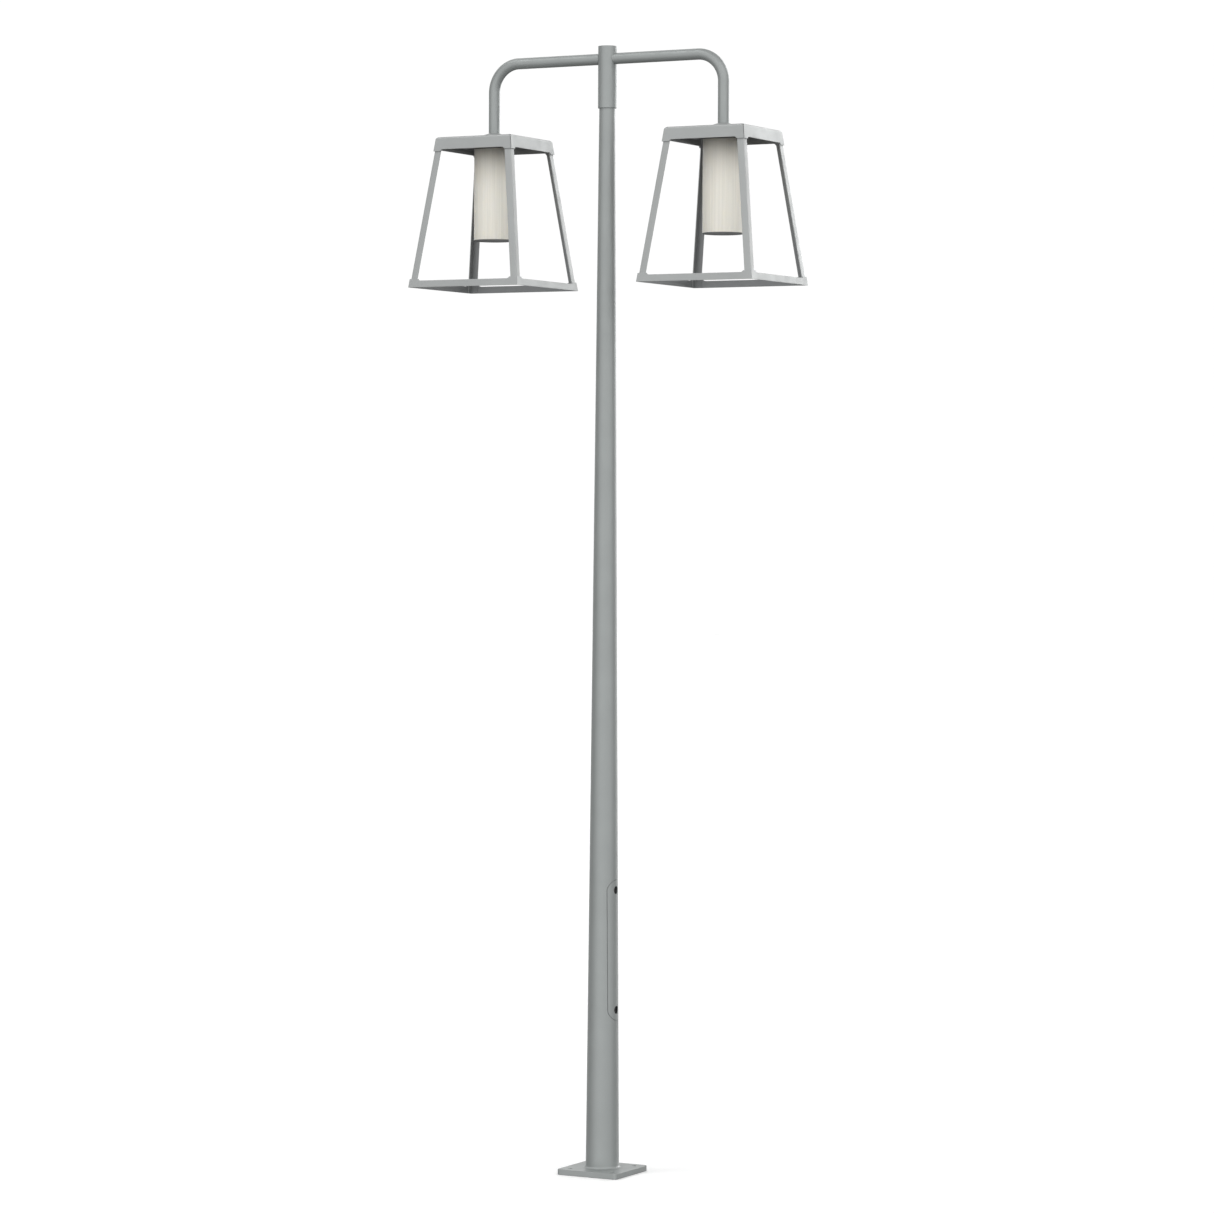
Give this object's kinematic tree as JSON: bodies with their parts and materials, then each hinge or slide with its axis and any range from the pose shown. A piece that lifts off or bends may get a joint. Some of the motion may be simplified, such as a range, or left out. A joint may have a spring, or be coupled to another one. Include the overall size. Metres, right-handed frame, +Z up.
{
  "type": "twin-lantern street lamp post",
  "caption": "Conical street lamp post on a square base plate, with two bent arms that carry square splayed-leg lanterns around cylindrical opal diffusers.",
  "frame": {"origin": "middle of the base plate's underside, on the ground", "axes": "+Z up along the column, +X along the arms and out through the access door, +Y across the arms"},
  "size_m": [1.3684, 0.4484, 4],
  "materials": {
    "column_paint": "grey polyester powder coat, fine texture, satin",
    "lantern_paint": "grey polyester powder coat, fine texture, satin",
    "zinc_plate": "zinc-plated steel",
    "lock_steel": "blackened steel",
    "heat_sink_aluminium": "plain cast aluminium",
    "opal_diffuser": "warm white opal plastic with fine upright ribs",
    "grey_moulding": "mid-grey moulded plastic",
    "black_moulding": "black moulded plastic",
    "white_board": "white lacquered circuit board"
  },
  "bodies": {
    "post": {"base_plate": "column_paint", "foot_weld": "column_paint", "column_foot": "column_paint", "column_shaft": "column_paint", "lower_lock_bar": "zinc_plate", "upper_lock_bar": "zinc_plate", "equipment_rail": "zinc_plate", "fused_cut_out": "grey_moulding", "earth_stud": "zinc_plate", "top_sleeve": "column_paint", "sleeve_grub_screw_1": "lock_steel", "sleeve_grub_screw_2": "lock_steel", "right_arm": "column_paint", "left_arm": "column_paint", "right_rosette": "lantern_paint", "right_roof_cap": "lantern_paint", "right_roof_screw": "zinc_plate", "right_leg_back_right": "lantern_paint", "right_leg_back_left": "lantern_paint", "right_leg_front_left": "lantern_paint", "right_leg_front_right": "lantern_paint", "right_bottom_frame": "lantern_paint", "right_nipple": "zinc_plate", "right_spacer": "zinc_plate", "right_gear_plate": "zinc_plate", "right_lock_nut": "zinc_plate", "right_driver": "black_moulding", "right_heat_sink": "heat_sink_aluminium", "right_led_board": "white_board", "right_holder_ring": "grey_moulding", "left_rosette": "lantern_paint", "left_roof_cap": "lantern_paint", "left_roof_screw": "zinc_plate", "left_leg_back_right": "lantern_paint", "left_leg_back_left": "lantern_paint", "left_leg_front_left": "lantern_paint", "left_leg_front_right": "lantern_paint", "left_bottom_frame": "lantern_paint", "left_nipple": "zinc_plate", "left_spacer": "zinc_plate", "left_gear_plate": "zinc_plate", "left_lock_nut": "zinc_plate", "left_driver": "black_moulding", "left_heat_sink": "heat_sink_aluminium", "left_led_board": "white_board", "left_holder_ring": "grey_moulding"},
    "door": {"access_door": "column_paint", "upper_lock_cup": "black_moulding", "lower_lock_cup": "black_moulding"},
    "upper_lock": {"upper_lock_screw": "lock_steel"},
    "lower_lock": {"lower_lock_screw": "lock_steel"},
    "carrier": {"fuse_carrier": "black_moulding"},
    "right_diffuser_unit": {"right_diffuser": "opal_diffuser", "right_diffuser_end_cap": "grey_moulding"},
    "left_diffuser_unit": {"left_diffuser": "opal_diffuser", "left_diffuser_end_cap": "grey_moulding"}
  },
  "joints": [
    {"name": "door_lift_off", "type": "slide", "parent": "post", "child": "door", "axis": [1, 0, 0], "range_m": [0, 0.12]},
    {"name": "upper_lock_turn", "type": "hinge", "parent": "door", "child": "upper_lock", "pos_m": [0.04, 0, 1.01], "axis": [1, 0, 0], "continuous": true},
    {"name": "lower_lock_turn", "type": "hinge", "parent": "door", "child": "lower_lock", "pos_m": [0.043, 0, 0.584], "axis": [1, 0, 0], "continuous": true},
    {"name": "fuse_carrier_pull", "type": "slide", "parent": "post", "child": "carrier", "axis": [1, 0, 0], "range_m": [0, 0.017]},
    {"name": "right_diffuser_turn", "type": "hinge", "parent": "post", "child": "right_diffuser_unit", "pos_m": [0.46, 0, 3.66], "axis": [0, 0, 1], "range_deg": [0, 30]},
    {"name": "left_diffuser_turn", "type": "hinge", "parent": "post", "child": "left_diffuser_unit", "pos_m": [-0.46, 0, 3.66], "axis": [0, 0, 1], "range_deg": [0, 30]}
  ]
}
